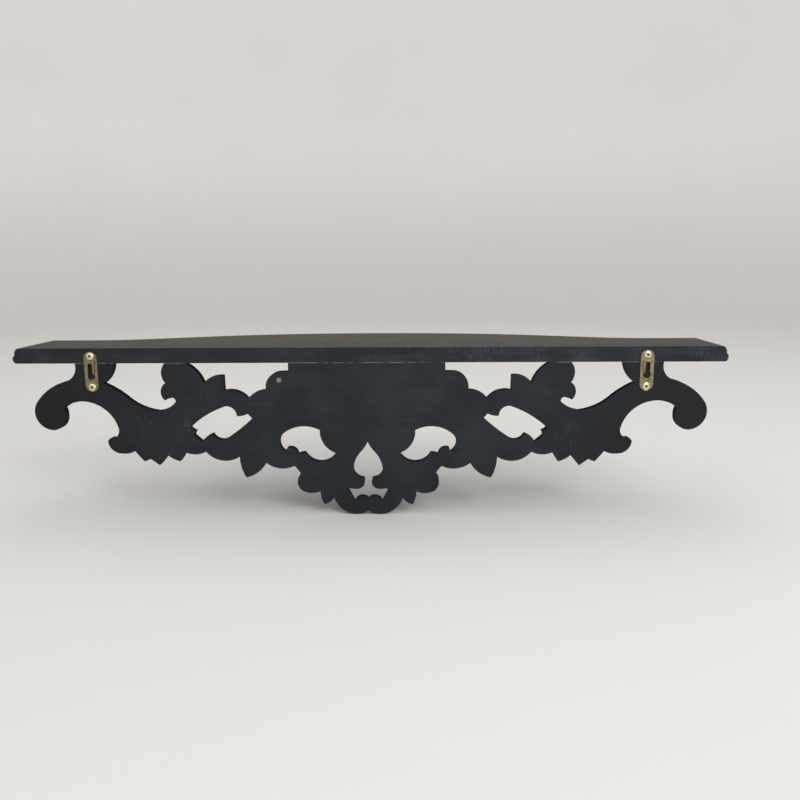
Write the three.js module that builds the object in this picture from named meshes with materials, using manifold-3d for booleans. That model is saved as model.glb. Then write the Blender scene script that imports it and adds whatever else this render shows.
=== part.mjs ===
// Wall shelf with a fretwork bracket panel.
//
// A moulded pine shelf board stands on one flat fretwork panel that is flush with its straight
// back edge. Hidden dowels join the two, and two brass keyhole hangers bridge the joint behind.
//
// Millimetres. X runs along the shelf, the wall is on the +Y side with the wooden back in the
// plane Y = 0, and Z is up. The origin is the middle of the shelf board's back edge.

import * as THREE from 'three';
import { mergeVertices } from 'three/addons/utils/BufferGeometryUtils.js';
import Module from 'manifold-3d';

const wasm = await Module();
wasm.setup();

// Shelf board
const shelfLength = 736.6;
const shelfThickness = 16;
const shelfDepthMiddle = 152.4;
const shelfDepthEnd = 84;
const wingLength = 58;          // straight front on each side of the bow
const bowFlatness = 190;        // how far the bow's full depth reaches towards each wing
const wingFlatness = 75;        // how far the wing's depth reaches towards the bow

// Moulding on the front and both ends
const beadHeight = 8.3;
const beadFootInset = 2.8;
const beadTopInset = 1.6;
const quirkStep = 0.4;          // groove between the bead and the round above it
const quirkHeight = 1.2;
const roundTopInset = 6.7;

// Fretwork panel
const panelEndInset = 17.8;     // shelf's end to the scroll's outermost point
const panelDrop = 163;
const panelThickness = 9.5;

// Keyhole hangers
const plateWidth = 13.2;
const plateEndMargin = 4.55;    // screw's axis to the plate's end
const plateSheet = 1;
const upperScrewRise = 7.6;     // above the joint
const screwSpacing = 32.4;
const pocketWidth = 9.2;
const pocketTop = 1.9;          // above the joint
const pocketHeight = 12.9;
const pocketRise = 1.8;
const pocketDraft = 0.7;        // how much its sides lean in
const keyholeRadius = 4.1;
const keyholeDrop = 13;         // hole centre below the joint
const slotWidth = 5;
const slotTopRise = 0.6;        // top of the slot above the joint
const hangerFromNeckMiddle = 3;

// Hanger screws
const headRadius = 3.9;
const headRim = 0.2;
const headSink = 0.05;          // underside of the rim below the plate's face
const headRise = 1.6;           // top of the dome above the plate's face
const shankRadius = 1.5;
const screwTipCover = 1;        // panel left in front of the screw's tip
const dishMargin = 0.7;         // dished hole beyond the head, at the plate's face
const dishFlare = 2.2;          // how much the dished hole narrows through the plate
const crossLength = 5;
const crossWidth = 1.15;
const crossDepth = 1.35;

// Dowels
const dowelRadius = 2.5;
const dowelInShelf = 8;
const dowelInPanel = 12;
const neckDowelInset = 13.5;    // from the neck's inner edge
const middleDowelX = 50;

// Clearances
const fitGap = 0.3;             // round a dowel or a screw in its hole, and beyond a screw's tip
const glueRoom = 1;             // empty depth beyond a dowel's ends

// Fretwork pattern, half of it, as [distance from the middle, drop below the joint, swell].
// The swell belongs to the stretch that leads to the next point. It is how far that stretch stands
// out from its chord: outwards from the wood if positive, into it if negative, 0 for a straight
// cut. Round a cut-out a positive swell makes the opening larger.
const middleHalfWidth = 81;
const leafInner = 188;
const leafOuter = 209.4;
const neckInner = 262.5;
const neckOuter = 303;

const outlineHalf = [
  // wide middle, then the gap between it and the leaf
  [middleHalfWidth, 0, 0], [middleHalfWidth, 9, 0], [91, 9.3, 5], [104.8, 28.5, 2.4],
  [124.2, 37.5, 3.8], [148.7, 29, 0], [149, 13.3, 2.8], [169.6, 20.8, 2.8],
  // leaf stalk, then the gap between it and the neck
  [leafInner, 0, 0], [leafOuter, 0, 3.8], [209.8, 20.8, 4.6], [211, 39.3, -0.5],
  [205.5, 37, -2.4], [200, 41, -2], [219, 50.8, -2], [247.5, 39.5, 1.3], [274.5, 21.3, 2.8],
  // neck and its scroll
  [neckInner, 0, 0], [neckOuter, 0, -4.2], [313, 18.5, 4], [347, 42, 8.8], [332.5, 71, 4.8],
  [317.5, 56, 0.6], [319, 47.5, -1.7],
  // arch under the neck and the curl that ends it
  [299, 40, -8.2], [262, 69.5, -2.4], [268.5, 80, 2.2], [274.5, 84.5, 3.5], [260, 96.5, 1.2],
  [246.5, 93.8, 0.2],
  // teeth
  [237, 105, 0.3], [230.5, 102.3, 0], [221, 109.3, 0], [211.8, 98.4, 0.8], [199, 105, 0.3],
  [193, 95.2, 2.6],
  // lobes down to the notch in the middle
  [171, 94.6, 7], [135.5, 100, 1.6], [129.3, 122.7, 3], [107.5, 106.8, 4.4], [77.5, 110, -0.3],
  [71, 118.5, 4.2], [70.5, 137, 2.4], [51, 138, 1], [47, 152.4, 1.2], [36.4, 145.3, 9.4],
  [0, 159.5, 0],
];
const slantedCutout = [
  [120.5, 58.5, 0], [125, 53.7, -0.9], [136.5, 56, 3.4], [148, 45.5, 2.4], [186.5, 68.5, 0.8],
  [181, 72.2, 0], [183, 76.7, 0.3], [174.7, 84, -1.4], [163.5, 75.4, 4.2], [146.5, 79.5, 0.8],
];
const crescentCutout = [
  [33.5, 96, -5], [50, 71.2, 5.7], [88, 74.5, 5.6], [86.3, 95, -0.4], [84.8, 90.4, -3.2],
  [73.6, 97.5, -0.6], [66, 96, 9.8],
];
const spadeHalf = [
  [0, 83.7, -0.4], [5.4, 92.6, 1.6], [15.3, 110.5, 4.2], [4.3, 123.7, 0], [3.7, 128, -1.9],
  [11, 135.2, -0.3], [19.1, 134.6, 0.5], [20.9, 137, 0], [14.7, 149.5, -4.2], [0, 146.7, 0],
];

const arcTolerance = 0.1;
const jointZ = -shelfThickness / 2;

// ---------- geometry helpers ----------

function toSolid(geometry) {
  const bare = geometry.clone();
  bare.deleteAttribute('normal');
  bare.deleteAttribute('uv');
  const merged = mergeVertices(bare, 1e-4);
  return new wasm.Manifold(new wasm.Mesh({
    numProp: 3,
    vertProperties: new Float32Array(merged.attributes.position.array),
    triVerts: new Uint32Array(merged.index.array),
  }));
}

function toGeometry(solid) {
  const mesh = solid.getMesh();
  const geometry = new THREE.BufferGeometry();
  geometry.setAttribute('position', new THREE.BufferAttribute(mesh.vertProperties, 3));
  geometry.setIndex(new THREE.BufferAttribute(mesh.triVerts, 1));
  return geometry;
}

function cut(solid, cutters) {
  return cutters.reduce((left, cutter) => left.subtract(toSolid(cutter)), solid);
}

// Points of the stretch from one pattern point to the next, the first left out, the last kept
function arcPoints(from, to, swell) {
  if (swell === 0) {
    return [to.clone()];
  }
  const chord = to.clone().sub(from);
  const half = chord.length() / 2;
  const rise = Math.abs(swell);
  const side = Math.sign(swell);
  const radius = (half * half + rise * rise) / (2 * rise);
  const left = new THREE.Vector2(-chord.y, chord.x).normalize();
  const centre = from.clone().add(to).multiplyScalar(0.5);
  centre.addScaledVector(left, side * (rise - radius));
  const sweep = -side * 4 * Math.atan(rise / half);
  const step = 2 * Math.acos(1 - Math.min(arcTolerance / radius, 0.1));
  const steps = Math.max(2, Math.ceil(Math.abs(sweep) / step));
  const points = [];
  for (let i = 1; i < steps; i += 1) {
    points.push(from.clone().rotateAround(centre, sweep * i / steps));
  }
  points.push(to.clone());
  return points;
}

function tracePattern(rows) {
  const corners = rows.map(([x, drop]) => new THREE.Vector2(x, -drop));
  const points = [corners[0]];
  for (let i = 1; i < rows.length; i += 1) {
    points.push(...arcPoints(corners[i - 1], corners[i], rows[i - 1][2]));
  }
  return points;
}

function traceLoop(rows) {
  const points = tracePattern([...rows, rows[0]]);
  points.pop();
  return points;
}

function mirrored(points) {
  return points.map((p) => new THREE.Vector2(-p.x, p.y)).reverse();
}

function traceWithMirror(half) {
  const points = tracePattern(half);
  return [...points, ...mirrored(points).filter((p) => p.x !== 0)];
}

// A shape drawn in X and Z, extruded from one Y to a larger one
function slabAlongY(shape, yFrom, yTo, curveSegments = 16) {
  const slab = new THREE.ExtrudeGeometry(shape, {
    depth: yTo - yFrom,
    bevelEnabled: false,
    curveSegments,
  });
  slab.rotateX(Math.PI / 2);
  slab.translate(0, yTo, 0);
  return slab;
}

function rodAlongY(radiusFrom, radiusTo, yFrom, yTo, segments = 24) {
  const rod = new THREE.CylinderGeometry(radiusTo, radiusFrom, yTo - yFrom, segments);
  rod.translate(0, (yFrom + yTo) / 2, 0);
  return rod;
}

function rodAlongZ(radius, zFrom, zTo, segments = 20) {
  const rod = new THREE.CylinderGeometry(radius, radius, zTo - zFrom, segments);
  rod.rotateX(Math.PI / 2);
  rod.translate(0, 0, (zFrom + zTo) / 2);
  return rod;
}

function piece(name, geometry, material) {
  const mesh = new THREE.Mesh(geometry, material);
  mesh.name = name;
  return mesh;
}

// ---------- materials ----------

function paintedPine() {
  return new THREE.MeshStandardMaterial({ color: 0x2a2e31, roughness: 0.5, metalness: 0 });
}

function yellowBrass() {
  return new THREE.MeshStandardMaterial({ color: 0xa38d5e, roughness: 0.35, metalness: 1 });
}

function brightBrass() {
  return new THREE.MeshStandardMaterial({ color: 0xd9cf9c, roughness: 0.25, metalness: 1 });
}

function beech() {
  return new THREE.MeshStandardMaterial({ color: 0xc8a678, roughness: 0.6, metalness: 0 });
}

// ---------- places shared by pieces that meet ----------

function panelScale() {
  const drawn = new THREE.Box2().setFromPoints(tracePattern(outlineHalf));
  const halfLength = shelfLength / 2 - panelEndInset;
  return new THREE.Vector2(halfLength / drawn.max.x, -panelDrop / drawn.min.y);
}

const scale = panelScale();
const hangerX = (neckInner + neckOuter) / 2 * scale.x + hangerFromNeckMiddle;
const upperScrewZ = jointZ + upperScrewRise;
const lowerScrewZ = upperScrewZ - screwSpacing;
const screwTipY = -(panelThickness - screwTipCover);
const keyholeZ = jointZ - keyholeDrop;
const slotTopZ = jointZ + slotTopRise;

const dowelPlaces = {
  neck: neckInner * scale.x + neckDowelInset,
  leaf: (leafInner + leafOuter) / 2 * scale.x,
  middle: middleDowelX,
};
const sides = { left: 1, right: -1 };

function dowelHoles(zFrom, zTo) {
  const holes = [];
  for (const x of Object.values(dowelPlaces)) {
    for (const side of Object.values(sides)) {
      const hole = rodAlongZ(dowelRadius + fitGap, zFrom, zTo);
      hole.translate(side * x, -panelThickness / 2, 0);
      holes.push(hole);
    }
  }
  return holes;
}

function screwHoles(z) {
  const radius = shankRadius + fitGap;
  return Object.values(sides).map((side) => {
    const hole = rodAlongY(radius, radius, screwTipY - fitGap, 1, 16);
    hole.translate(side * hangerX, 0, z);
    return hole;
  });
}

// ---------- shelf board ----------

// Front edge seen from above, from one end to the other: wing, bow, wing
class FrontEdge extends THREE.Curve {
  constructor(outset, overrun) {
    super();
    this.wingX = shelfLength / 2 - wingLength;
    this.endX = shelfLength / 2 + overrun;
    this.wingY = -(shelfDepthEnd + outset);
    this.bowY = -(shelfDepthMiddle + outset);
  }

  getPoint(t, target = new THREE.Vector3()) {
    const x = (2 * t - 1) * this.endX;
    const side = Math.sign(x);
    if (Math.abs(x) >= this.wingX) {
      return target.set(x, this.wingY, 0);
    }
    const along = 1 - Math.abs(x) / this.wingX;
    const bow = new THREE.CubicBezierCurve(
      new THREE.Vector2(this.wingX, this.wingY),
      new THREE.Vector2(this.wingX - wingFlatness, this.wingY),
      new THREE.Vector2(bowFlatness, this.bowY),
      new THREE.Vector2(0, this.bowY),
    );
    const point = bow.getPoint(along);
    return target.set(side * point.x, point.y, 0);
  }
}

function shelfBlank(allowance) {
  const outline = new THREE.Shape();
  outline.moveTo(-shelfLength / 2 - allowance, 0);
  for (const p of new FrontEdge(allowance, allowance).getSpacedPoints(60)) {
    outline.lineTo(p.x, p.y);
  }
  outline.lineTo(shelfLength / 2 + allowance, 0);
  const blank = new THREE.ExtrudeGeometry(outline, { depth: shelfThickness, bevelEnabled: false });
  blank.translate(0, 0, -shelfThickness / 2);
  return blank;
}

// Cross-section of what the router takes away, drawn for a sweep along the front edge from -X to
// +X: shape x is downwards and shape y is inwards from the board's outermost line
function routerSection(reach) {
  const bottom = -shelfThickness / 2;
  const top = shelfThickness / 2;
  const beadTop = bottom + beadHeight;
  const roundFoot = beadTop + quirkHeight;
  const quirkInset = beadTopInset + quirkStep;
  const overhang = 2;
  const beadSteps = 8;
  const roundSteps = 6;
  const beadWaist = 0.58;       // height of the bead's outermost line, as a share of the bead
  const section = new THREE.Shape();
  const lineTo = (inset, z) => section.lineTo(-z, inset);
  section.moveTo(-(bottom - overhang), -reach);
  lineTo(beadFootInset, bottom - overhang);
  for (let i = 0; i <= beadSteps; i += 1) {
    const z = bottom + beadHeight * i / beadSteps;
    const fromWaist = i / beadSteps - beadWaist;
    const share = fromWaist < 0 ? -fromWaist / beadWaist : fromWaist / (1 - beadWaist);
    const depth = fromWaist < 0 ? beadFootInset : beadTopInset;
    lineTo(depth * (1 - Math.sqrt(1 - share * share * 0.98)) / (1 - Math.sqrt(0.02)), z);
  }
  lineTo(quirkInset, beadTop);
  for (let i = 0; i <= roundSteps; i += 1) {
    const angle = i / roundSteps * Math.PI / 2;
    const inset = quirkInset + (roundTopInset - quirkInset) * (1 - Math.cos(angle));
    lineTo(inset, roundFoot + (top - roundFoot) * Math.sin(angle));
  }
  lineTo(roundTopInset, top + overhang);
  lineTo(-reach, top + overhang);
  section.closePath();
  return section;
}

function routerCuts(allowance) {
  const reach = allowance * 2;
  const section = routerSection(reach);
  const front = new THREE.ExtrudeGeometry(section, {
    steps: 64,
    bevelEnabled: false,
    extrudePath: new FrontEdge(0, reach),
  });
  const ends = Object.values(sides).map((side) => {
    const x = side * shelfLength / 2;
    const near = new THREE.Vector3(x, reach, 0);
    const far = new THREE.Vector3(x, -shelfDepthEnd - reach, 0);
    const path = side > 0 ? new THREE.LineCurve3(far, near) : new THREE.LineCurve3(near, far);
    return new THREE.ExtrudeGeometry(section, {
      steps: 1,
      bevelEnabled: false,
      extrudePath: path,
    });
  });
  return [front, ...ends];
}

function shelfBoard() {
  const allowance = 3;
  const blank = toSolid(shelfBlank(allowance));
  return toGeometry(cut(blank, [
    ...routerCuts(allowance),
    ...dowelHoles(jointZ - 1, jointZ + dowelInShelf + glueRoom),
    ...screwHoles(upperScrewZ),
  ]));
}

// ---------- fretwork panel ----------

function placeOnPanel(points) {
  return points.map((p) => new THREE.Vector2(p.x * scale.x, p.y * scale.y + jointZ));
}

function panelCutouts() {
  const loops = [traceWithMirror(spadeHalf)];
  for (const cutout of [slantedCutout, crescentCutout]) {
    const loop = traceLoop(cutout);
    loops.push(loop, mirrored(loop));
  }
  return loops.map((loop) => {
    const shape = new THREE.Shape(placeOnPanel(loop));
    return slabAlongY(shape, -panelThickness - 1, 1);
  });
}

function fretworkPanel() {
  const outline = new THREE.Shape(placeOnPanel(traceWithMirror(outlineHalf)));
  const panel = toSolid(slabAlongY(outline, -panelThickness, 0));
  return toGeometry(cut(panel, [
    ...panelCutouts(),
    ...dowelHoles(jointZ - dowelInPanel - glueRoom, jointZ + 1),
    ...screwHoles(lowerScrewZ),
  ]));
}

// ---------- keyhole hangers ----------

function plateOutline() {
  const middleZ = (upperScrewZ + lowerScrewZ) / 2;
  const radius = plateWidth / 2;
  const straight = screwSpacing / 2 + plateEndMargin - radius;
  const outline = new THREE.Shape();
  outline.absarc(0, middleZ + straight, radius, 0, Math.PI);
  outline.absarc(0, middleZ - straight, radius, Math.PI, 2 * Math.PI);
  outline.closePath();
  return outline;
}

// Raised box over the slot. Its sides lean in towards the wall.
function pocketBlock(inset, yFrom, yTo, zLow, zHigh) {
  const block = new THREE.BoxGeometry(pocketWidth - 2 * inset, yTo - yFrom, zHigh - zLow);
  block.translate(0, (yFrom + yTo) / 2, (zLow + zHigh) / 2);
  const place = block.attributes.position;
  for (let i = 0; i < place.count; i += 1) {
    if (place.getY(i) > yFrom + 0.5) {
      place.setX(i, place.getX(i) - Math.sign(place.getX(i)) * pocketDraft);
    }
  }
  return block;
}

function keyhole() {
  const shape = new THREE.Shape();
  const half = slotWidth / 2;
  const meet = Math.asin(half / keyholeRadius);
  shape.absarc(0, slotTopZ - half, half, 0, Math.PI);
  shape.absarc(0, keyholeZ, keyholeRadius, Math.PI / 2 + meet, 5 * Math.PI / 2 - meet);
  shape.closePath();
  return slabAlongY(shape, -1, plateSheet + pocketRise + 1, 10);
}

function hangerPlate() {
  const pocketTopZ = jointZ + pocketTop;
  const pocketFootZ = pocketTopZ - pocketHeight;
  const crown = plateSheet + pocketRise;
  const sheet = toSolid(slabAlongY(plateOutline(), 0, plateSheet));
  const block = pocketBlock(0, 0, crown, pocketFootZ, pocketTopZ);
  const hollow = pocketBlock(plateSheet, -1, pocketRise, keyholeZ, pocketTopZ - plateSheet);
  const dishes = [upperScrewZ, lowerScrewZ].map((z) => {
    const faceRadius = headRadius + dishMargin;
    const backRadius = faceRadius - dishFlare;
    const over = 0.1;
    const spread = dishFlare / plateSheet * over;
    const dish = rodAlongY(backRadius - spread, faceRadius + spread, -over, plateSheet + over);
    dish.translate(0, 0, z);
    return dish;
  });
  return toGeometry(cut(sheet.add(toSolid(block)), [hollow, keyhole(), ...dishes]));
}

// ---------- hanger screws ----------

function hangerScrew(crossAngle) {
  const domeSteps = 8;
  const seat = plateSheet - headSink;
  const rimTop = seat + headRim;
  const crown = plateSheet + headRise;
  const tipLength = 1.8;
  const profile = [
    new THREE.Vector2(0, screwTipY),
    new THREE.Vector2(shankRadius, screwTipY + tipLength),
    new THREE.Vector2(shankRadius, 0.1),
    new THREE.Vector2(headRadius, seat),
  ];
  for (let i = 0; i < domeSteps; i += 1) {
    const angle = i / domeSteps * Math.PI / 2;
    const height = rimTop + (crown - rimTop) * Math.sin(angle);
    profile.push(new THREE.Vector2(headRadius * Math.cos(angle), height));
  }
  profile.push(new THREE.Vector2(0, crown));
  const arms = [0, Math.PI / 2].map((turn) => {
    const arm = new THREE.BoxGeometry(crossLength, 3, crossWidth);
    arm.translate(0, crown - crossDepth + 1.5, 0);
    arm.rotateY(turn + crossAngle);
    return arm;
  });
  return toGeometry(cut(toSolid(new THREE.LatheGeometry(profile, 28)), arms));
}

// ---------- dowels ----------

function dowel() {
  return rodAlongZ(dowelRadius, jointZ - dowelInPanel, jointZ + dowelInShelf, 16);
}

// ---------- assembly ----------

const shelf = new THREE.Group();
shelf.name = 'fretwork_wall_shelf';
shelf.add(piece('shelf_board', shelfBoard(), paintedPine()));
shelf.add(piece('fretwork_panel', fretworkPanel(), paintedPine()));

const screwPlaces = {
  left: { upper: 0.35, lower: 0.95 },
  right: { upper: 1.2, lower: 0.1 },
};
const screwHeights = { upper: upperScrewZ, lower: lowerScrewZ };

for (const [sideName, side] of Object.entries(sides)) {
  const plate = piece(`hanger_plate_${sideName}`, hangerPlate(), yellowBrass());
  plate.position.x = side * hangerX;
  shelf.add(plate);
  for (const [rank, angle] of Object.entries(screwPlaces[sideName])) {
    const screw = piece(`hanger_screw_${sideName}_${rank}`, hangerScrew(angle), brightBrass());
    screw.position.set(side * hangerX, 0, screwHeights[rank]);
    shelf.add(screw);
  }
}

for (const [place, x] of Object.entries(dowelPlaces)) {
  for (const [sideName, side] of Object.entries(sides)) {
    const pin = piece(`dowel_${place}_${sideName}`, dowel(), beech());
    pin.position.set(side * x, -panelThickness / 2, 0);
    shelf.add(pin);
  }
}

export default shelf;
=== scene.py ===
"""Wall shelf with a fretwork bracket panel: surfaces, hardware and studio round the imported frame.

Metres, in the frame's own axes: the wall is on the +Y side, X runs along the shelf, Z is up.
"""

import math

import bmesh
import bpy
from mathutils import Matrix, Vector


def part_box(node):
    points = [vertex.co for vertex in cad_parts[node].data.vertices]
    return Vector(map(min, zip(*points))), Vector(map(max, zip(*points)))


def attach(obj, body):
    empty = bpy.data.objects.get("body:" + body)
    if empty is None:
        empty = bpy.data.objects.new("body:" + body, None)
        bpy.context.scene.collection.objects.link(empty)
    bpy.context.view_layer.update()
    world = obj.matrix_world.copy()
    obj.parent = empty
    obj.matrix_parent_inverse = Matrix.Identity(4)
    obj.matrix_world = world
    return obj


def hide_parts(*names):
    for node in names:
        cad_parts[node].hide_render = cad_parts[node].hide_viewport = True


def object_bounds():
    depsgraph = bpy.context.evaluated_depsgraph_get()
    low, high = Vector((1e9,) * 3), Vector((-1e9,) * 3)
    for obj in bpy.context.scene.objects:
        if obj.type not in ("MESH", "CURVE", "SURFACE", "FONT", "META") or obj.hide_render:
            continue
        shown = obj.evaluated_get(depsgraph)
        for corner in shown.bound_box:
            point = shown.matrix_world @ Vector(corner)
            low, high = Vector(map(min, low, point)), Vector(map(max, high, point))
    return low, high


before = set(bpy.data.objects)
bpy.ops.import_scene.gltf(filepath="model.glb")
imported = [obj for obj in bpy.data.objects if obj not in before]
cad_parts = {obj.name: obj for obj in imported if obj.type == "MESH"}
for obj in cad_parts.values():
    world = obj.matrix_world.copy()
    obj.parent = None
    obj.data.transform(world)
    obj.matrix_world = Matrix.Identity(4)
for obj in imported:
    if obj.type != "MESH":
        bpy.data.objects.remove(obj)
CAD_BOX = [list(corner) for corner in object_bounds()]

bl_info = {
    "name": "Fretwork wall shelf",
    "version": (1, 0, 0),
    "blender": (4, 5, 0),
    "location": "View3D > Sidebar > Shelf",
    "description": "Builds the surfaces and hardware of a fretwork wall shelf",
    "category": "Object",
}

MM = 0.001
PLATES = ("hanger_plate_left", "hanger_plate_right")
DOWELS = [
    f"dowel_{place}_{side}" for place in ("neck", "leaf", "middle") for side in ("left", "right")
]
# underside of the board, in millimetres
JOINT_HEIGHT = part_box("shelf_board")[0][2] / MM
# how far from its axis a hole's mouth is left sharp
DOWEL_MOUTH = 3.2 * MM
SCREW_MOUTH = 2.2 * MM
# an edge sharper than this is rounded, in degrees
ARRIS_ANGLE = 30.0
# turn of each screw's cross, in degrees
SCREW_TURNS = {
    "hanger_screw_left_upper": 20.0,
    "hanger_screw_left_lower": 54.0,
    "hanger_screw_right_upper": 69.0,
    "hanger_screw_right_lower": 6.0,
}


# ---------- settings ----------


def linear(hex_colour):
    """A linear RGBA colour from an sRGB hex string."""
    channels = [int(hex_colour[i : i + 2], 16) / 255 for i in (1, 3, 5)]
    flat = [c / 12.92 if c <= 0.04045 else ((c + 0.055) / 1.055) ** 2.4 for c in channels]
    return (*flat, 1.0)


def length_setting(name, description, default):
    return bpy.props.FloatProperty(
        name=name, description=description, default=default, min=0.0, unit="LENGTH", precision=5
    )


def colour_setting(name, description, hex_colour):
    return bpy.props.FloatVectorProperty(
        name=name,
        description=description,
        default=linear(hex_colour),
        min=0.0,
        max=1.0,
        size=4,
        subtype="COLOR",
    )


class ShelfSettings(bpy.types.PropertyGroup):
    """Sizes and colours of the shelf's surfaces and hardware."""

    board_arris: length_setting("Board arris", "Rounding of the board's sanded edges", 0.0008)
    panel_arris: length_setting("Panel arris", "Rounding of the panel's sawn edges", 0.00055)
    sheet_arris: length_setting("Sheet arris", "Rounding of the pressed sheet's edges", 0.00022)
    thread_pitch: length_setting("Thread pitch", "Pitch of the hanger screws' thread", 0.0012)
    thread_depth: length_setting("Thread depth", "Depth of the hanger screws' thread", 0.00022)
    paint: colour_setting("Paint", "Satin charcoal paint", "#171B1F")
    paint_light: colour_setting("Thin paint", "Paint where it is thin or rubbed", "#2A3036")
    # a dusty brown that is also painted sheen, laid on the faces that look up
    dust_and_sheen: colour_setting("Dust", "Brown film on the faces that look up", "#4D4738")
    bare_wood: colour_setting("Bare wood", "Pine where the paint has chipped", "#A88B68")
    plate_brass: colour_setting("Plate brass", "Pressed sheet of the hangers", "#9C8E6B")
    screw_brass: colour_setting("Screw brass", "Bright heads of the screws", "#F2EDD0")
    beech: colour_setting("Beech", "Hidden dowels", "#C8A678")
    floor: colour_setting("Floor", "Studio floor and sweep", "#D0CEC9")


# ---------- shader helpers ----------


def add_node(tree, kind, inputs=None, **settings):
    """Adds a node, sets its properties, and sets or links its inputs by name or number."""
    made = tree.nodes.new(kind)
    for key, value in settings.items():
        setattr(made, key, value)
    for key, value in (inputs or {}).items():
        if isinstance(value, bpy.types.NodeSocket):
            tree.links.new(value, made.inputs[key])
        else:
            made.inputs[key].default_value = value
    return made


def maths(tree, operation, a, b=0.0, clamp=False):
    return add_node(
        tree, "ShaderNodeMath", {0: a, 1: b}, operation=operation, use_clamp=clamp
    ).outputs[0]


def squared(tree, value):
    return maths(tree, "MULTIPLY", value, value)


def scaled(tree, value, gain, offset):
    return add_node(
        tree, "ShaderNodeMath", {0: value, 1: gain, 2: offset}, operation="MULTIPLY_ADD"
    ).outputs[0]


def product(tree, *values):
    result = values[0]
    for value in values[1:]:
        result = maths(tree, "MULTIPLY", result, value)
    return result


def total(tree, *values):
    result = values[0]
    for value in values[1:]:
        result = maths(tree, "ADD", result, value)
    return result


def mix_colour(tree, factor, a, b):
    return add_node(
        tree, "ShaderNodeMix", {0: factor, 6: a, 7: b}, data_type="RGBA", clamp_factor=True
    ).outputs[2]


def tinted(tree, colour, where, strength, tint):
    """The colour with a tint laid over it where it shows, at some strength."""
    return mix_colour(tree, product(tree, where, strength), colour, linear(tint))


def between(tree, value, low, high, to_low=0.0, to_high=1.0):
    """A smooth step of value from low to high."""
    step = add_node(
        tree,
        "ShaderNodeMapRange",
        {"Value": value, 1: low, 2: high, 3: to_low, 4: to_high},
        interpolation_type="SMOOTHSTEP",
    )
    return step.outputs[0]


def millimetres(tree):
    """The object's own coordinates in millimetres."""
    coords = add_node(tree, "ShaderNodeTexCoord")
    return add_node(
        tree,
        "ShaderNodeVectorMath",
        {0: coords.outputs["Object"], "Scale": 1000.0},
        operation="SCALE",
    ).outputs[0]


def facing(tree):
    """The x, y and z of the object's own surface normal."""
    coords = add_node(tree, "ShaderNodeTexCoord")
    return add_node(tree, "ShaderNodeSeparateXYZ", {0: coords.outputs["Normal"]}).outputs


def noise(tree, vector, size, detail=3.0, roughness=0.55, distortion=0.0):
    """Noise whose features measure size: one length, or one along each axis, in millimetres."""
    sizes = size if isinstance(size, tuple) else (size, size, size)
    scaled = add_node(
        tree,
        "ShaderNodeVectorMath",
        {0: vector, 1: tuple(1.0 / s for s in sizes)},
        operation="MULTIPLY",
    )
    return add_node(
        tree,
        "ShaderNodeTexNoise",
        {
            "Vector": scaled.outputs[0],
            "Scale": 1.0,
            "Detail": detail,
            "Roughness": roughness,
            "Distortion": distortion,
        },
    ).outputs[0]


def near(tree, vector, centre, radius, softness):
    """1 within a radius of a place, falling to 0 over the softness. All in millimetres."""
    distance = add_node(
        tree, "ShaderNodeVectorMath", {0: vector, 1: centre}, operation="DISTANCE"
    ).outputs["Value"]
    return between(tree, distance, radius + softness, radius)


def spots(tree, vector, places, core):
    """1 at the heart of each round place, a share of its radius wide, falling to 0 at its rim."""
    most = 0.0
    for centre, radius in places:
        here = near(tree, vector, centre, radius * core, radius * (1 - core))
        most = maths(tree, "MAXIMUM", most, here)
    return most


def at_arris(tree, reach, samples=6):
    """How near a surface point is to a convex or hollow edge, from 0 to 1."""
    rounded = add_node(tree, "ShaderNodeBevel", {"Radius": reach}, samples=samples)
    geometry = add_node(tree, "ShaderNodeNewGeometry")
    along = add_node(
        tree,
        "ShaderNodeVectorMath",
        {0: rounded.outputs[0], 1: geometry.outputs["Normal"]},
        operation="DOT_PRODUCT",
    )
    return between(tree, along.outputs["Value"], 0.995, 0.86)


def bump(tree, height, depth, strength=1.0, below=None):
    """A bump of a real depth in metres, laid over another."""
    inputs = {"Height": height, "Strength": strength, "Distance": depth}
    if below is not None:
        inputs["Normal"] = below
    return add_node(tree, "ShaderNodeBump", inputs).outputs[0]


def new_material(name):
    material = bpy.data.materials.new(name)
    material.use_nodes = True
    tree = material.node_tree
    tree.nodes.clear()
    return material, tree


def finish_material(tree, **inputs):
    names = {key.replace("_", " "): value for key, value in inputs.items()}
    shader = add_node(tree, "ShaderNodeBsdfPrincipled", names)
    add_node(tree, "ShaderNodeOutputMaterial", {"Surface": shader.outputs[0]})


# ---------- materials ----------


def brushed_paint(tree, settings, clouds, grain):
    """Cloudy brushed tone, with the lengthwise grain of the pine under it."""
    cloudy = product(tree, between(tree, clouds, 0.3, 0.75), 0.5)
    grainy = product(tree, between(tree, grain, 0.4, 0.72), 0.3)
    thin = total(tree, cloudy, grainy)
    return mix_colour(tree, thin, tuple(settings.paint), tuple(settings.paint_light))


def dust_and_sheen_streaks(tree, mm, grain, topside):
    """Where a dusty brown layer and painted sheen lie on what looks up, and where dark paint stays
    free of both between its streaks.
    """
    broad_grain = noise(tree, mm, (260.0, 9.0, 7.0), detail=2.0, distortion=0.5)
    fine_grain = noise(tree, mm, (330.0, 3.2, 3.2), detail=3.0, distortion=0.4)
    film_and_sheen = total(
        tree,
        product(tree, between(tree, broad_grain, 0.38, 0.62), 0.3),
        product(tree, between(tree, fine_grain, 0.42, 0.6), 0.3),
        product(tree, between(tree, grain, 0.36, 0.68), 0.3),
        0.15,
    )
    clean_and_dull = maths(tree, "SUBTRACT", 1.0, between(tree, fine_grain, 0.4, 0.52))
    return product(tree, film_and_sheen, topside), product(tree, clean_and_dull, topside)


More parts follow.
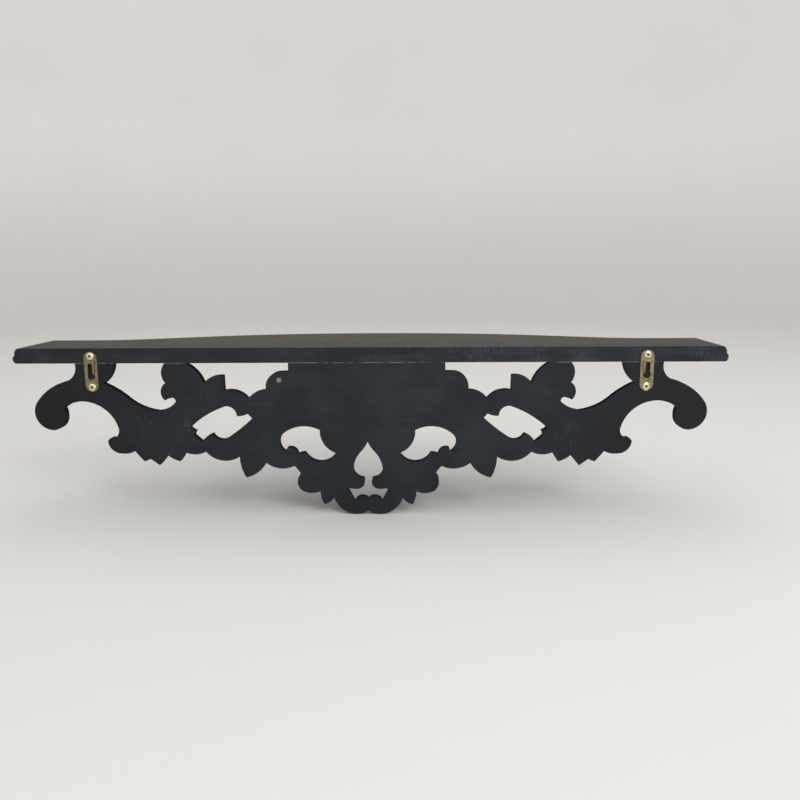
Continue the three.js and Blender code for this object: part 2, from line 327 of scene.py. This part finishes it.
def saw_marks(tree, mm, x, ny, where):
    """The wave that the saw's teeth left square to the board, and how strongly it shows."""
    # coarsened from about 1.4 mm, so that the marks still read from across a room
    pitch = 2.3
    drift = noise(tree, mm, (30.0, 40.0, 24.0), detail=2.0)
    along = total(tree, x, product(tree, drift, 9.0))
    wave = maths(tree, "SINE", product(tree, along, 2 * math.pi / pitch))
    broken = between(tree, noise(tree, mm, (3.2, 9.0, 9.0), detail=3.0), 0.3, 0.6)
    patches = between(tree, noise(tree, mm, (46.0, 40.0, 14.0), detail=2.0), 0.44, 0.62)
    back_face = between(tree, ny, 0.9, 0.99)
    return wave, product(tree, patches, broken, back_face, where)


def worn_and_highlit_edges(tree, mm, chipped):
    """Where arrises are lightened, partly worn to primer and partly painted highlight, and where
    they are chipped to the wood.
    """
    edge = at_arris(tree, 0.0011)
    breaks = noise(tree, mm, (5.0, 2.2, 3.0), detail=4.0, roughness=0.65)
    rubbed_and_highlit = product(tree, edge, between(tree, breaks, 0.5, 0.62))
    anywhere = product(tree, edge, between(tree, breaks, 0.63, 0.68), 0.6)
    in_places = product(tree, edge, between(tree, breaks, 0.52, 0.58), spots(tree, mm, chipped, 0.4))
    return rubbed_and_highlit, maths(tree, "MAXIMUM", anywhere, in_places)


def dusty_rubs(tree, mm, speckle, dusty):
    """Stray light specks all over, and broken dusty scuffs in some places."""
    smears = between(tree, noise(tree, mm, (6.0, 6.0, 16.0), detail=2.0), 0.46, 0.62)
    grit = noise(tree, mm, (1.6, 1.6, 3.0), detail=5.0, roughness=0.75)
    scuffs = product(tree, between(tree, grit, 0.5, 0.68), smears, spots(tree, mm, dusty, 0.1))
    specks = product(tree, between(tree, speckle, 0.7, 0.78), 0.2)
    return maths(tree, "MAXIMUM", specks, scuffs)


def bare_knots(tree, mm, knots):
    """Ragged spots where a knot has shed its paint."""
    bare = 0.0
    wobble = product(tree, noise(tree, mm, 2.0), 2.2)
    for centre, radius in knots:
        distance = add_node(
            tree, "ShaderNodeVectorMath", {0: mm, 1: centre}, operation="DISTANCE"
        ).outputs["Value"]
        spot = between(tree, total(tree, distance, wobble), radius + 1.4, radius + 0.7)
        bare = maths(tree, "MAXIMUM", spot, bare)
    return bare


def joint_line(tree, mm, y, z):
    """The open line between board and panel, broken along its length, on the back only."""
    from_joint = maths(tree, "ABSOLUTE", maths(tree, "SUBTRACT", z, JOINT_HEIGHT))
    on_line = between(tree, from_joint, 0.45, 0.2)
    at_back = between(tree, y, -2.0, -0.5)
    gaps = between(tree, noise(tree, mm, (16.0, 5.0, 5.0), detail=3.0), 0.42, 0.55)
    return product(tree, on_line, at_back, gaps)


def painted_pine(name, settings, saw_strength, is_board, scars):
    """Thin satin charcoal paint on pine. Grain and saw marks show through it, with painted sheen on
    the saw ridges, and the board's upper faces carry streaky dusty brown and painted sheen. The
    panel gets painted shade, and the arrises are worn back to primer and wood and lightened with
    painted highlight."""
    material, tree = new_material(name)
    mm = millimetres(tree)
    _, ny, nz = facing(tree)[:3]
    x, y, z = add_node(tree, "ShaderNodeSeparateXYZ", {0: mm}).outputs[:3]
    clouds = noise(tree, mm, 60.0, detail=4.0)
    grain = noise(tree, mm, (140.0, 1.5, 1.5), detail=5.0, roughness=0.6, distortion=0.3)
    speckle = noise(tree, mm, 1.1, detail=2.0)
    upward = between(tree, nz, 0.55, 0.95)

    colour = brushed_paint(tree, settings, clouds, grain)
    # dusty brown and painted sheen: the board's top gets a streaky brown, with darker paint between
    # the streaks
    film_and_sheen, clean_and_dull = dust_and_sheen_streaks(tree, mm, grain, product(tree, upward, float(is_board)))
    colour = mix_colour(tree, film_and_sheen, colour, tuple(settings.dust_and_sheen))
    colour = tinted(tree, colour, clean_and_dull, 0.55, "#15171A")

    # painted shade: the panel alone is darkened away from its middle, where the sheen falls off
    on_panel = float(not is_board)
    shade_at_ends = between(tree, maths(tree, "ABSOLUTE", x), 140.0, 330.0, 0.0, on_panel)
    colour = tinted(tree, colour, shade_at_ends, 0.7, "#0B0E11")

    # painted shade: the panel's sawn walls are painted near black and kept dull
    wall = product(tree, between(tree, maths(tree, "ABSOLUTE", ny), 0.5, 0.2), on_panel)
    colour = tinted(tree, colour, wall, 1.0, "#040405")

    # saw marks cover one half of the board, and both pieces have them in places; their lighter
    # ridges are partly painted sheen
    where = spots(tree, mm, scars["sawn"], 0.4)
    if is_board:
        where = maths(tree, "MAXIMUM", where, between(tree, x, 40.0, -60.0, 0.25))
    wave, sawn = saw_marks(tree, mm, x, ny, product(tree, where, saw_strength))
    # painted sheen: the real saw ridges are also painted lighter, most on the board's -X half
    ridges = product(tree, between(tree, wave, -0.2, 1.0), sawn)
    colour = tinted(tree, colour, ridges, 0.42, "#5E656C")

    rubbed_and_highlit, chips = worn_and_highlit_edges(tree, mm, scars["chipped"])
    # painted highlight and wear: a lighter grey along the arrises
    colour = tinted(tree, colour, rubbed_and_highlit, 0.3, "#55595B")
    colour = mix_colour(tree, chips, colour, tuple(settings.bare_wood))
    colour = tinted(tree, colour, dusty_rubs(tree, mm, speckle, scars["dusty"]), 0.5, "#7E8284")
    colour = tinted(tree, colour, bare_knots(tree, mm, scars["bare"]), 0.8, "#8C7F77")
    colour = tinted(tree, colour, joint_line(tree, mm, y, z), 0.4, "#A9A29A")

    # height: grain, brush drag, saw ridges, nicks and grit
    normal = bump(tree, grain, 0.00018, 0.55)
    normal = bump(tree, clouds, 0.0012, 0.25, normal)
    normal = bump(tree, product(tree, wave, sawn), 0.00012, 0.8, normal)
    normal = bump(tree, product(tree, chips, -1.0), 0.00025, 1.0, normal)
    normal = bump(tree, speckle, 0.00005, 0.5, normal)
    roughness = total(
        tree,
        scaled(tree, clouds, 0.16, 0.36),
        product(tree, film_and_sheen, 0.3),
        product(tree, upward, 0.1),
        product(tree, wall, 0.4),
    )
    roughness = maths(tree, "ADD", roughness, product(tree, chips, 0.25), clamp=True)
    finish_material(
        tree, Base_Color=colour, Roughness=roughness, Normal=normal, Specular_IOR_Level=0.22
    )
    return material


def pressed_brass(settings):
    """Yellow-brown brass sheet, rolled and pressed: tarnish in clouds, painted shade low in the
    hollows next to the wood, and painted highlights along its edges."""
    material, tree = new_material("pressed_brass_sheet")
    mm = millimetres(tree)
    mottle = noise(tree, mm, 3.2, detail=4.0)
    rolled = noise(tree, mm, (0.12, 0.12, 9.0), detail=3.0)
    pits = noise(tree, mm, 0.5, detail=3.0)
    tarnish = between(tree, mottle, 0.4, 0.72)
    colour = mix_colour(tree, tarnish, tuple(settings.plate_brass), linear("#6E6349"))
    y = add_node(tree, "ShaderNodeSeparateXYZ", {0: mm}).outputs[1]
    # painted shade: the brass is darkened the nearer it lies to the wood, in the slot and at the
    # sheet's edges
    colour = tinted(tree, colour, between(tree, y, 0.85, 0.35), 0.7, "#3E3421")
    # painted highlight: thin bright lines along the sheet's edges
    colour = tinted(tree, colour, at_arris(tree, 0.0005), 0.75, "#E6DCB4")
    roughness = scaled(tree, mottle, 0.22, 0.24)
    normal = bump(tree, rolled, 0.00002, 0.5)
    normal = bump(tree, pits, 0.00003, 0.5, normal)
    finish_material(tree, Base_Color=colour, Metallic=1.0, Roughness=roughness, Normal=normal)
    return material


def bright_brass(settings):
    """Pale plated brass of the screws, smooth, with faint turning marks and painted shade in the
    cross.
    """
    material, tree = new_material("bright_plated_brass")
    mm = millimetres(tree)
    mottle = noise(tree, mm, 1.4, detail=3.0)
    scratches = noise(tree, mm, (0.15, 0.15, 2.2), detail=3.0)
    colour = mix_colour(
        tree, between(tree, mottle, 0.4, 0.7), tuple(settings.screw_brass), linear("#DDD2A2")
    )
    recess = add_node(tree, "ShaderNodeAttribute", attribute_name="recess").outputs["Fac"]
    # painted shade: the cross is painted near black, deepest under the dome
    colour = tinted(tree, colour, between(tree, recess, 0.0, 0.35), 1.0, "#0F0C06")
    roughness = scaled(tree, mottle, 0.16, 0.18)
    normal = bump(tree, scratches, 0.000015, 0.4)
    finish_material(tree, Base_Color=colour, Metallic=1.0, Roughness=roughness, Normal=normal)
    return material


def turned_beech(settings):
    """Plain beech of the dowels: short brown flecks along the rod."""
    material, tree = new_material("turned_beech")
    mm = millimetres(tree)
    flecks = between(tree, noise(tree, mm, (0.4, 0.4, 4.0), detail=4.0), 0.5, 0.72)
    colour = mix_colour(tree, flecks, tuple(settings.beech), linear("#9A7448"))
    normal = bump(tree, flecks, 0.00004, 0.6)
    finish_material(tree, Base_Color=colour, Roughness=0.6, Normal=normal)
    return material


def studio_paper(settings):
    """Matt pale paper, painted lighter with height, with the faintest mottle."""
    material, tree = new_material("studio_paper")
    mm = millimetres(tree)
    z = add_node(tree, "ShaderNodeSeparateXYZ", {0: mm}).outputs[2]
    # painted light: the paper is painted lighter the higher it rises up the sweep
    lift = between(tree, z, -170.0, 900.0)
    colour = mix_colour(tree, lift, tuple(settings.floor), linear("#F1EEEA"))
    mottle = between(tree, noise(tree, mm, 400.0), 0.3, 0.7)
    colour = tinted(tree, colour, mottle, 0.06, "#C9C7C4")
    finish_material(tree, Base_Color=colour, Roughness=0.9)
    return material


# ---------- mesh helpers ----------


def merged_copy(node_name, piece_name):
    """A copy of a CAD node with shared vertices and whole flat faces."""
    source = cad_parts[node_name]
    mesh = source.data.copy()
    mesh.materials.clear()
    work = bmesh.new()
    work.from_mesh(mesh)
    bmesh.ops.remove_doubles(work, verts=work.verts, dist=2e-6)
    bmesh.ops.dissolve_limit(
        work, angle_limit=math.radians(0.2), verts=work.verts, edges=work.edges
    )
    for face in work.faces:
        face.smooth = True
    work.to_mesh(mesh)
    work.free()
    piece = bpy.data.objects.new(piece_name, mesh)
    bpy.context.collection.objects.link(piece)
    return piece


def weight_arrises(mesh, angle, skip):
    """Marks for bevelling each edge sharper than angle, apart from those that skip names."""
    work = bmesh.new()
    work.from_mesh(mesh)
    layer = work.edges.layers.float.get("bevel_weight_edge")
    if layer is None:
        layer = work.edges.layers.float.new("bevel_weight_edge")
    for edge in work.edges:
        middle = (edge.verts[0].co + edge.verts[1].co) / 2
        sharp = len(edge.link_faces) == 2 and edge.calc_face_angle(0.0) > angle
        edge[layer] = 1.0 if sharp and not skip(middle) else 0.0
    work.to_mesh(mesh)
    work.free()


def frozen(piece):
    """The piece with its modifiers made real."""
    graph = bpy.context.evaluated_depsgraph_get()
    mesh = bpy.data.meshes.new_from_object(
        piece.evaluated_get(graph), preserve_all_data_layers=True, depsgraph=graph
    )
    mesh.name = piece.name
    old = piece.data
    piece.modifiers.clear()
    piece.data = mesh
    bpy.data.meshes.remove(old)
    return piece


def soften(piece, radius, skip):
    """Rounds the piece's arrises and keeps its flat faces flat in the light."""
    weight_arrises(piece.data, math.radians(ARRIS_ANGLE), skip)
    bevel = piece.modifiers.new("arris", "BEVEL")
    bevel.limit_method = "WEIGHT"
    bevel.width = radius
    bevel.segments = 3
    bevel.use_clamp_overlap = True
    bevel.miter_outer = "MITER_ARC"
    normals = piece.modifiers.new("flat faces", "WEIGHTED_NORMAL")
    normals.keep_sharp = True
    normals.weight = 80
    return frozen(piece)


def hole_mouths():
    """The middle, the two axes across and the reach of each dowel's and screw's hole."""
    mouths = []
    for names, across, reach in ((DOWELS, (0, 1), DOWEL_MOUTH), (SCREW_TURNS, (0, 2), SCREW_MOUTH)):
        for name in names:
            low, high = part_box(name)
            mouths.append(((Vector(low) + Vector(high)) / 2, across, reach))
    return mouths


HOLES = hole_mouths()


def near_holes(place):
    """Whether a place is at the mouth of a dowel's or a screw's hole."""
    for middle, (first, second), reach in HOLES:
        if math.hypot(place[first] - middle[first], place[second] - middle[second]) < reach:
            return True
    return False


def place_piece(piece, material, slot_name, *nodes):
    piece.data.materials.clear()
    piece.data.materials.append(material)
    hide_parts(*nodes)
    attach(piece, "root")


# ---------- geometry nodes: a cross-head screw ----------

SCREW_INPUTS = (
    ("Head Radius", "NodeSocketFloat", 0.0039),
    ("Seat Height", "NodeSocketFloat", 0.00095),
    ("Rim Height", "NodeSocketFloat", 0.00115),
    ("Crown Height", "NodeSocketFloat", 0.0026),
    ("Shank Radius", "NodeSocketFloat", 0.0015),
    ("Tip Depth", "NodeSocketFloat", 0.0085),
    ("Tip Length", "NodeSocketFloat", 0.0018),
    ("Thread Pitch", "NodeSocketFloat", 0.0012),
    ("Thread Depth", "NodeSocketFloat", 0.0002),
    ("Cross Length", "NodeSocketFloat", 0.005),
    ("Cross Width", "NodeSocketFloat", 0.00115),
    ("Cross Floor", "NodeSocketFloat", 0.0012),
    ("Cross Turn", "NodeSocketFloat", 0.0),
    ("Place", "NodeSocketVector", (0.0, 0.0, 0.0)),
    ("Material", "NodeSocketMaterial", None),
)
# where the shank meets the head, and how far under the dome the painted shade in the cross is
# darkest
NECK_HEIGHT = 0.1 * MM
DARKEST_DEPTH = 0.7 * MM


def by_ring(tree, ring, values):
    """The value that belongs to each ring, from a list of numbers and sockets."""
    switch = add_node(tree, "GeometryNodeIndexSwitch", data_type="FLOAT")
    while len(switch.index_switch_items) < len(values):
        switch.index_switch_items.new()
    tree.links.new(ring, switch.inputs[0])
    for number, value in enumerate(values, start=1):
        if isinstance(value, bpy.types.NodeSocket):
            tree.links.new(value, switch.inputs[number])
        else:
            switch.inputs[number].default_value = value
    return switch.outputs[0]


def turned_body(tree, given, shank_end):
    """Tip, shank and domed head as one profile of rings, turned about the Y axis."""
    around, rings, first_dome = 41, 16, 4
    sheet = add_node(
        tree, "GeometryNodeMeshGrid", {"Vertices X": around, "Vertices Y": rings}
    ).outputs[0]
    index = add_node(tree, "GeometryNodeInputIndex").outputs[0]
    ring = maths(tree, "MODULO", index, rings)
    step = maths(tree, "FLOOR", maths(tree, "DIVIDE", index, rings))
    turn = product(tree, step, 2 * math.pi / (around - 1))
    rise = maths(tree, "SUBTRACT", ring, first_dome)
    angle = product(tree, rise, math.pi / 2 / (rings - 1 - first_dome))
    dome_radius = product(tree, given["Head Radius"], maths(tree, "COSINE", angle))
    crown = maths(tree, "SUBTRACT", given["Crown Height"], given["Rim Height"])
    dome_height = total(tree, given["Rim Height"], product(tree, crown, maths(tree, "SINE", angle)))
    tip = product(tree, given["Tip Depth"], -1.0)
    radii = (0.0, given["Shank Radius"], given["Shank Radius"], given["Head Radius"], dome_radius)
    heights = (tip, shank_end, NECK_HEIGHT, given["Seat Height"], dome_height)
    part = maths(tree, "MINIMUM", ring, first_dome)
    radius = by_ring(tree, part, radii)
    height = by_ring(tree, part, heights)
    place = add_node(
        tree,
        "ShaderNodeCombineXYZ",
        {
            0: product(tree, radius, maths(tree, "COSINE", turn)),
            1: height,
            2: product(tree, radius, maths(tree, "SINE", turn)),
        },
    ).outputs[0]
    body = add_node(
        tree, "GeometryNodeSetPosition", {"Geometry": sheet, "Position": place}
    ).outputs[0]
    return add_node(
        tree, "GeometryNodeMergeByDistance", {"Geometry": body, "Distance": 1e-6}
    ).outputs[0]


def moved(tree, geometry, **inputs):
    return add_node(
        tree, "GeometryNodeTransform", {"Geometry": geometry, **inputs}
    ).outputs[0]


def cross_arms(tree, given):
    """The two crossing bars of the recess, each narrowing towards its floor."""
    taper = add_node(
        tree,
        "GeometryNodeMeshCone",
        {"Vertices": 4, "Radius Top": 0.7071, "Radius Bottom": 0.42, "Depth": 0.002},
    ).outputs["Mesh"]
    size = add_node(
        tree,
        "ShaderNodeCombineXYZ",
        {0: given["Cross Length"], 1: given["Cross Width"], 2: 1.0},
    ).outputs[0]
    lift = add_node(tree, "ShaderNodeCombineXYZ", {1: given["Cross Floor"]}).outputs[0]
    square = moved(tree, taper, Rotation=(0.0, 0.0, math.pi / 4))
    bar = moved(tree, square, Scale=size)
    arms = []
    for quarter in (0.0, math.pi / 2):
        spin = add_node(
            tree, "ShaderNodeCombineXYZ", {2: total(tree, given["Cross Turn"], quarter)}
        ).outputs[0]
        spun = moved(tree, bar, Rotation=spin)
        arms.append(moved(tree, spun, Rotation=(-math.pi / 2, 0.0, 0.0), Translation=lift))
    return arms


def marked_recess(tree, given, head):
    """Stores how deep each point lies under the dome, so that the cross can get painted shade."""
    here = add_node(tree, "GeometryNodeInputPosition").outputs[0]
    across, up, along = add_node(tree, "ShaderNodeSeparateXYZ", {0: here}).outputs
    from_axis = maths(tree, "SQRT", total(tree, squared(tree, across), squared(tree, along)))
    share = squared(tree, maths(tree, "DIVIDE", from_axis, given["Head Radius"]))
    inside = maths(tree, "MAXIMUM", maths(tree, "SUBTRACT", 1.0, share), 0.0)
    crown = maths(tree, "SUBTRACT", given["Crown Height"], given["Rim Height"])
    dome = total(tree, given["Rim Height"], product(tree, maths(tree, "SQRT", inside), crown))
    depth = maths(tree, "SUBTRACT", dome, up)
    under = maths(tree, "DIVIDE", depth, DARKEST_DEPTH, clamp=True)
    near_axis = maths(tree, "LESS_THAN", from_axis, product(tree, given["Head Radius"], 0.75))
    return add_node(
        tree,
        "GeometryNodeStoreNamedAttribute",
        {"Geometry": head, "Name": "recess", "Value": product(tree, under, near_axis)},
        data_type="FLOAT",
        domain="POINT",
    ).outputs[0]


def thread_ridge(tree, given, shank_end):
    """A ridge that climbs the shank from the tip to the neck."""
    run = maths(tree, "SUBTRACT", product(tree, shank_end, -1.0), 2 * NECK_HEIGHT)
    spiral = add_node(
        tree,
        "GeometryNodeCurveSpiral",
        {
            "Resolution": 20,
            "Rotations": maths(tree, "DIVIDE", run, given["Thread Pitch"]),
            "Start Radius": given["Shank Radius"],
            "End Radius": given["Shank Radius"],
            "Height": run,
        },
    ).outputs[0]
    ridge = add_node(
        tree, "GeometryNodeCurvePrimitiveCircle", {"Resolution": 4, "Radius": given["Thread Depth"]}
    ).outputs[0]
    thread = add_node(
        tree,
        "GeometryNodeCurveToMesh",
        {"Curve": spiral, "Profile Curve": ridge, "Fill Caps": True},
    ).outputs[0]
    down = add_node(tree, "ShaderNodeCombineXYZ", {1: shank_end}).outputs[0]
    return moved(tree, thread, Rotation=(-math.pi / 2, 0.0, 0.0), Translation=down)


def screw_tree():
    """Makes one screw, point inwards along -Y, from a turned profile, a cross cut into its crown
    and a ridge that climbs the shank."""
    tree = bpy.data.node_groups.new("cross_head_screw", "GeometryNodeTree")
    tree.interface.new_socket("Geometry", in_out="OUTPUT", socket_type="NodeSocketGeometry")
    for name, kind, default in SCREW_INPUTS:
        socket = tree.interface.new_socket(name, in_out="INPUT", socket_type=kind)
        if default is not None:
            socket.default_value = default
    given = add_node(tree, "NodeGroupInput").outputs
    shank_end = maths(tree, "SUBTRACT", given["Tip Length"], given["Tip Depth"])

    cut = add_node(
        tree,
        "GeometryNodeMeshBoolean",
        {0: turned_body(tree, given, shank_end)},
        operation="DIFFERENCE",
        solver="EXACT",
    )
    for arm in cross_arms(tree, given):
        tree.links.new(arm, cut.inputs[1])

    join = add_node(tree, "GeometryNodeJoinGeometry")
    for part in (thread_ridge(tree, given, shank_end), marked_recess(tree, given, cut.outputs[0])):
        tree.links.new(part, join.inputs[0])
    in_place = moved(tree, join.outputs[0], Translation=given["Place"])
    real = add_node(tree, "GeometryNodeRealizeInstances", {"Geometry": in_place}).outputs[0]
    painted = add_node(
        tree, "GeometryNodeSetMaterial", {"Geometry": real, "Material": given["Material"]}
    ).outputs[0]
    add_node(tree, "NodeGroupOutput", {0: painted})
    return tree


def grown(name, tree, values):
    """A plain mesh object from a geometry node tree, with its inputs set by identifier."""
    piece = bpy.data.objects.new(name, bpy.data.meshes.new(name))
    bpy.context.collection.objects.link(piece)
    modifier = piece.modifiers.new("build", "NODES")
    modifier.node_group = tree
    for item in tree.interface.items_tree:
        if item.item_type == "SOCKET" and item.in_out == "INPUT" and item.name in values:
            modifier[item.identifier] = values[item.name]
    return frozen(piece)


# ---------- operators ----------

# round worn places, each as its centre and its radius, in millimetres
BOARD_SCARS = {
    "sawn": [((-300.0, 0.0, 0.0), 60.0)],
    "chipped": [
        ((-72.0, 0.0, 8.0), 70.0),
        ((-150.0, 0.0, 8.0), 25.0),
        ((60.0, 0.0, 8.0), 40.0),
    ],
    "dusty": [],
    "bare": [],
}
PANEL_SCARS = {
    "sawn": [
        ((178.0, 0.0, -42.0), 34.0),
        ((-190.0, 0.0, -36.0), 26.0),
        ((-60.0, 0.0, -30.0), 44.0),
    ],
    "chipped": [((212.0, 0.0, -22.0), 22.0), ((-212.0, 0.0, -22.0), 18.0)],
    "dusty": [
        ((190.0, 0.0, -80.0), 22.0),
        ((176.0, 0.0, -112.0), 14.0),
        ((236.0, 0.0, -70.0), 20.0),
        ((-208.0, 0.0, -84.0), 20.0),
    ],
    "bare": [((91.0, 0.0, -26.0), 2.6)],
}


class SHELF_OT_board(bpy.types.Operator):
    """Make the moulded shelf board."""

    bl_idname = "shelf.board"
    bl_label = "Shelf board"

    def execute(self, context):
        settings = context.scene.shelf_settings
        piece = merged_copy("shelf_board", "moulded_shelf_board")
        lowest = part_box("shelf_board")[0][2]

        def skip(place):
            close = 0.1 * MM
            on_back = place.y > -close
            on_underside = place.z < lowest + close
            return near_holes(place) or not (on_back or on_underside)

        soften(piece, settings.board_arris, skip)
        material = painted_pine("satin_paint_on_pine_board", settings, 1.0, True, BOARD_SCARS)
        place_piece(piece, material, "painted_board", "shelf_board")
        return {"FINISHED"}


class SHELF_OT_panel(bpy.types.Operator):
    """Make the fretwork bracket panel."""

    bl_idname = "shelf.panel"
    bl_label = "Fretwork panel"

    def execute(self, context):
        settings = context.scene.shelf_settings
        piece = merged_copy("fretwork_panel", "fretwork_bracket_panel")
        soften(piece, settings.panel_arris, near_holes)
        material = painted_pine("satin_paint_on_sawn_pine", settings, 0.3, False, PANEL_SCARS)
        place_piece(piece, material, "painted_panel", "fretwork_panel")
        return {"FINISHED"}


class SHELF_OT_plates(bpy.types.Operator):
    """Make the two pressed keyhole hangers."""

    bl_idname = "shelf.plates"
    bl_label = "Keyhole hangers"

    def execute(self, context):
        settings = context.scene.shelf_settings
        material = pressed_brass(settings)
        for node_name in PLATES:
            piece = merged_copy(node_name, node_name.replace("plate", "pressing"))
            soften(piece, settings.sheet_arris, lambda place: False)
            place_piece(piece, material, "hanger_brass", node_name)
        return {"FINISHED"}


class SHELF_OT_screws(bpy.types.Operator):
    """Make the four cross-head screws."""

    bl_idname = "shelf.screws"
    bl_label = "Hanger screws"

    def execute(self, context):
        settings = context.scene.shelf_settings
        material = bright_brass(settings)
        tree = screw_tree()
        for node_name, turn in SCREW_TURNS.items():
            low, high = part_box(node_name)
            values = {
                "Thread Pitch": settings.thread_pitch,
                "Thread Depth": settings.thread_depth,
                "Tip Depth": -low[1],
                "Crown Height": high[1],
                "Head Radius": (high[0] - low[0]) / 2,
                "Cross Turn": math.radians(turn),
                "Place": ((low[0] + high[0]) / 2, 0.0, (low[2] + high[2]) / 2),
                "Material": material,
            }
            piece = grown(node_name.replace("hanger_screw", "cross_head_screw"), tree, values)
            piece.data.shade_smooth()
            piece.data.set_sharp_from_angle(angle=math.radians(35))
            place_piece(piece, material, "screw_brass", node_name)
        return {"FINISHED"}


class SHELF_OT_dowels(bpy.types.Operator):
    """Give the hidden dowels their wood."""

    bl_idname = "shelf.dowels"
    bl_label = "Dowels"

    def execute(self, context):
        material = turned_beech(context.scene.shelf_settings)
        for node_name in DOWELS:
            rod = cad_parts[node_name]
            rod.data.materials.clear()
            rod.data.materials.append(material)
        return {"FINISHED"}


def studio_sweep(floor_height, material):
    """A round pale floor that curves up into a wall on every side."""
    flat_radius, curve_radius, wall_top = 2.6, 1.2, 3.2
    around, curve_steps = 96, 12
    profile = []
    for i in range(curve_steps + 1):
        angle = i / curve_steps * math.pi / 2
        profile.append(
            (flat_radius + curve_radius * math.sin(angle), curve_radius * (1 - math.cos(angle)))
        )
    profile.append((flat_radius + curve_radius, wall_top))
    work = bmesh.new()
    rings = []
    for radius, height in profile:
        ring = []
        for i in range(around):
            turn = i / around * 2 * math.pi
            place = (radius * math.cos(turn), radius * math.sin(turn), floor_height + height)
            ring.append(work.verts.new(place))
        rings.append(ring)
    work.faces.new(rings[0])
    for inner, outer in zip(rings, rings[1:]):
        for i in range(around):
            j = (i + 1) % around
            work.faces.new((inner[i], outer[i], outer[j], inner[j]))
    for face in work.faces:
        face.smooth = True
    mesh = bpy.data.meshes.new("studio_sweep")
    work.to_mesh(mesh)
    work.free()
    sweep = bpy.data.objects.new("studio_sweep", mesh)
    bpy.context.collection.objects.link(sweep)
    mesh.materials.append(material)
    return sweep


def area_light(name, place, aim, size, power, colour="#FFFFFF"):
    lamp = bpy.data.lights.new(name, "AREA")
    lamp.shape = "DISK"
    lamp.size = size
    lamp.energy = power
    lamp.color = linear(colour)[:3]
    holder = bpy.data.objects.new(name, lamp)
    holder.location = place
    holder.rotation_euler = (Vector(aim) - Vector(place)).to_track_quat("-Z", "Y").to_euler()
    bpy.context.collection.objects.link(holder)


def add_camera():
    """A camera behind and above the shelf, looking slightly down at its back."""
    yaw, pitch, roll = math.radians(1.48), math.radians(10.79), math.radians(-0.39)
    forward = Vector(
        (math.sin(yaw) * math.cos(pitch), -math.cos(yaw) * math.cos(pitch), -math.sin(pitch))
    )
    right = forward.cross(Vector((0.0, 0.0, 1.0))).normalized()
    up = right.cross(forward)
    tilted_right = math.cos(roll) * right + math.sin(roll) * up
    tilted_up = math.cos(roll) * up - math.sin(roll) * right
    turn = Matrix((tilted_right, tilted_up, -forward)).transposed()
    data = bpy.data.cameras.new("studio_camera")
    data.sensor_width = 36.0
    data.lens = 33.3
    data.clip_start = 0.01
    camera = bpy.data.objects.new("studio_camera", data)
    camera.matrix_world = Matrix.Translation((-0.0538, 0.7535, 0.0965)) @ turn.to_4x4()
    bpy.context.collection.objects.link(camera)
    bpy.context.scene.camera = camera


class SHELF_OT_stage(bpy.types.Operator):
    """Make the pale studio, its lights and its camera."""

    bl_idname = "shelf.stage"
    bl_label = "Studio"

    def execute(self, context):
        settings = context.scene.shelf_settings
        floor_height = CAD_BOX[0][2] - 0.5 * MM
        studio_sweep(floor_height, studio_paper(settings))
        world = bpy.data.worlds.new("studio_air")
        world.use_nodes = True
        background = world.node_tree.nodes["Background"]
        background.inputs["Color"].default_value = linear("#F7F8FB")
        background.inputs["Strength"].default_value = 1.0
        context.scene.world = world
        context.scene.view_settings.view_transform = "Standard"
        area_light("window", (-0.95, 1.6, 1.1), (-0.1, 0.0, -0.05), 1.2, 25.0, "#F8FAFF")
        area_light("fill", (1.2, 1.4, 1.6), (0.0, 0.0, -0.05), 1.6, 3.0, "#FFFAF4")
        area_light("overhead", (0.0, -0.7, 1.9), (0.0, 0.0, 0.0), 1.8, 8.0)
        add_camera()
        return {"FINISHED"}


class SHELF_PT_sidebar(bpy.types.Panel):
    """Settings and steps of the shelf."""

    bl_idname = "SHELF_PT_sidebar"
    bl_label = "Fretwork wall shelf"
    bl_space_type = "VIEW_3D"
    bl_region_type = "UI"
    bl_category = "Shelf"

    def draw(self, context):
        layout = self.layout
        for name in ShelfSettings.__annotations__:
            layout.prop(context.scene.shelf_settings, name)
        for step in STEPS:
            layout.operator(step.bl_idname)


STEPS = (
    SHELF_OT_board,
    SHELF_OT_panel,
    SHELF_OT_plates,
    SHELF_OT_screws,
    SHELF_OT_dowels,
    SHELF_OT_stage,
)
CLASSES = (ShelfSettings, *STEPS, SHELF_PT_sidebar)


def register():
    for cls in CLASSES:
        bpy.utils.register_class(cls)
    bpy.types.Scene.shelf_settings = bpy.props.PointerProperty(type=ShelfSettings)


def unregister():
    del bpy.types.Scene.shelf_settings
    for cls in reversed(CLASSES):
        bpy.utils.unregister_class(cls)


def main():
    register()
    bpy.ops.shelf.board()
    bpy.ops.shelf.panel()
    bpy.ops.shelf.plates()
    bpy.ops.shelf.screws()
    bpy.ops.shelf.dowels()
    bpy.ops.shelf.stage()


if __name__ == "__main__":
    main()
